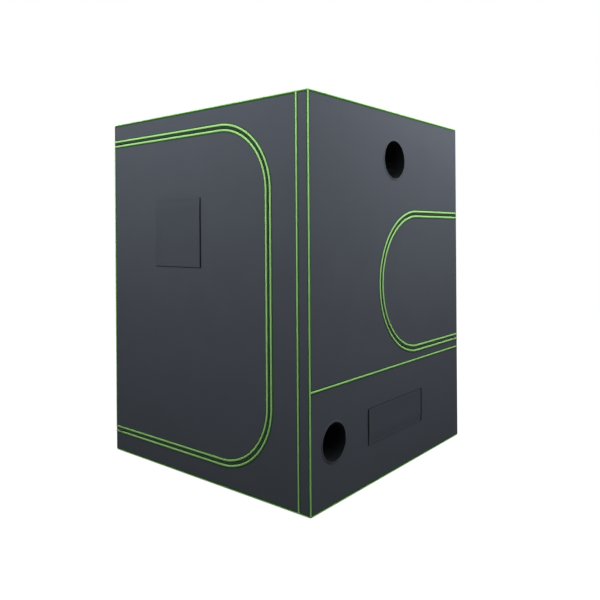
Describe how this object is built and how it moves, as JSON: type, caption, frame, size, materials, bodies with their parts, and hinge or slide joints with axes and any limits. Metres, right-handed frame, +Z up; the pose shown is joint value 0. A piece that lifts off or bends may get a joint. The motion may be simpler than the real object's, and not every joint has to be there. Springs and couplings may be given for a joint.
{
  "type": "indoor grow tent",
  "caption": "Tall square fabric tent on a push-fit pole frame, with curved zipped doors, a flapped window, flapped vents and sleeved duct ports for growing plants indoors.",
  "frame": {"origin": "on the floor, under the middle of the tent", "axes": "+Z up, -Y out of the front wall with the main door, +X out of the right wall with the side door"},
  "size_m": [1.5346, 1.5343, 1.983],
  "materials": {
    "oxford_fabric": "slate grey woven polyester outside, silver film inside",
    "green_piping": "light green woven piping",
    "zip_tape": "black zip tape and coil, edged with green piping",
    "zip_metal": "black enamelled die casting",
    "sleeve_fabric": "black woven polyester",
    "vent_mesh": "black knitted mesh",
    "window_film": "clear flexible vinyl with a green tint",
    "tray_fabric": "silver coated waterproof sheet",
    "pole_steel": "white powder coat",
    "connector_plastic": "black moulded nylon"
  },
  "bodies": {
    "shell": {"bottom_connector_front_left": "connector_plastic", "bottom_connector_front_right": "connector_plastic", "bottom_connector_back_right": "connector_plastic", "bottom_connector_back_left": "connector_plastic", "top_connector_front_left": "connector_plastic", "top_connector_front_right": "connector_plastic", "top_connector_back_right": "connector_plastic", "top_connector_back_left": "connector_plastic", "upright_front_left": "pole_steel", "upright_front_right": "pole_steel", "upright_back_right": "pole_steel", "upright_back_left": "pole_steel", "bottom_rail_front": "pole_steel", "bottom_rail_right": "pole_steel", "bottom_rail_back": "pole_steel", "bottom_rail_left": "pole_steel", "top_rail_front": "pole_steel", "top_rail_right": "pole_steel", "top_rail_back": "pole_steel", "top_rail_left": "pole_steel", "front_wall": "oxford_fabric", "front_corner_strip": "oxford_fabric", "right_wall_upper": "oxford_fabric", "right_wall_lower": "oxford_fabric", "back_wall": "oxford_fabric", "left_wall": "oxford_fabric", "roof": "oxford_fabric", "floor_panel": "oxford_fabric", "roof_piping": "green_piping", "floor_piping": "green_piping", "corner_piping": "green_piping", "door_hinge_piping": "green_piping", "strip_piping": "green_piping", "wall_seam_piping": "green_piping", "main_zip_wall_half": "zip_tape", "side_zip_wall_half": "zip_tape", "right_upper_duct_sleeve": "sleeve_fabric", "right_lower_duct_sleeve": "sleeve_fabric", "left_upper_duct_sleeve": "sleeve_fabric", "right_vent_mesh": "vent_mesh", "left_vent_mesh": "vent_mesh"},
    "main_door": {"main_door": "oxford_fabric", "window_pane": "window_film", "main_zip_door_half": "zip_tape"},
    "window_flap": {"window_flap": "oxford_fabric"},
    "side_door": {"side_door": "oxford_fabric", "side_zip_door_half": "zip_tape"},
    "right_vent_flap": {"right_vent_flap": "oxford_fabric"},
    "left_vent_flap": {"left_vent_flap": "oxford_fabric"},
    "main_slider_top": {"main_slider_top": "zip_metal"},
    "main_pull_tab_top": {"main_pull_tab_top": "zip_metal"},
    "main_slider_bottom": {"main_slider_bottom": "zip_metal"},
    "main_pull_tab_bottom": {"main_pull_tab_bottom": "zip_metal"},
    "side_slider_top": {"side_slider_top": "zip_metal"},
    "side_pull_tab_top": {"side_pull_tab_top": "zip_metal"},
    "side_slider_bottom": {"side_slider_bottom": "zip_metal"},
    "side_pull_tab_bottom": {"side_pull_tab_bottom": "zip_metal"},
    "hanging_bar_left": {"hanging_bar_left": "pole_steel"},
    "hanging_bar_right": {"hanging_bar_right": "pole_steel"},
    "floor_tray": {"floor_tray": "tray_fabric"}
  },
  "joints": [
    {"name": "main_door_hinge", "type": "hinge", "parent": "shell", "child": "main_door", "pos_m": [-0.762, -0.762, 0.9975], "axis": [0, 0, -1], "range_deg": [0, 240]},
    {"name": "window_flap_hinge", "type": "hinge", "parent": "main_door", "child": "window_flap", "pos_m": [-0.173, -0.7643, 1.511], "axis": [-1, 0, 0], "range_deg": [0, 170]},
    {"name": "side_door_hinge", "type": "hinge", "parent": "shell", "child": "side_door", "pos_m": [0.762, 0.762, 1.0325], "axis": [0, 0, 1], "range_deg": [0, 240]},
    {"name": "right_vent_flap_hinge", "type": "hinge", "parent": "shell", "child": "right_vent_flap", "pos_m": [0.7643, 0, 0.208], "axis": [0, 1, 0], "range_deg": [0, 170]},
    {"name": "left_vent_flap_hinge", "type": "hinge", "parent": "shell", "child": "left_vent_flap", "pos_m": [-0.7643, 0, 0.208], "axis": [0, -1, 0], "range_deg": [0, 170]},
    {"name": "main_slider_top_run", "type": "slide", "parent": "shell", "child": "main_slider_top", "axis": [1, 0, 0], "range_m": [0, 0.88]},
    {"name": "main_pull_tab_top_hinge", "type": "hinge", "parent": "main_slider_top", "child": "main_pull_tab_top", "pos_m": [-0.726, -0.768, 1.865], "axis": [0, 0, -1], "range_deg": [0, 180]},
    {"name": "main_slider_bottom_run", "type": "slide", "parent": "shell", "child": "main_slider_bottom", "axis": [1, 0, 0], "range_m": [0, 0.88]},
    {"name": "main_pull_tab_bottom_hinge", "type": "hinge", "parent": "main_slider_bottom", "child": "main_pull_tab_bottom", "pos_m": [-0.726, -0.768, 0.13], "axis": [0, 0, -1], "range_deg": [0, 180]},
    {"name": "side_slider_top_run", "type": "slide", "parent": "shell", "child": "side_slider_top", "axis": [0, -1, 0], "range_m": [0, 0.47]},
    {"name": "side_pull_tab_top_hinge", "type": "hinge", "parent": "side_slider_top", "child": "side_pull_tab_top", "pos_m": [0.768, 0.726, 1.423], "axis": [0, 0, 1], "range_deg": [0, 180]},
    {"name": "side_slider_bottom_run", "type": "slide", "parent": "shell", "child": "side_slider_bottom", "axis": [0, -1, 0], "range_m": [0, 0.47]},
    {"name": "side_pull_tab_bottom_hinge", "type": "hinge", "parent": "side_slider_bottom", "child": "side_pull_tab_bottom", "pos_m": [0.768, 0.726, 0.642], "axis": [0, 0, 1], "range_deg": [0, 180]},
    {"name": "hanging_bar_left_slide", "type": "slide", "parent": "shell", "child": "hanging_bar_left", "axis": [1, 0, 0], "range_m": [-0.42, 0.2]},
    {"name": "hanging_bar_right_slide", "type": "slide", "parent": "shell", "child": "hanging_bar_right", "axis": [1, 0, 0], "range_m": [-0.2, 0.42]},
    {"name": "floor_tray_lift", "type": "slide", "parent": "shell", "child": "floor_tray", "axis": [0, 0, 1], "range_m": [0, 0.14]}
  ]
}
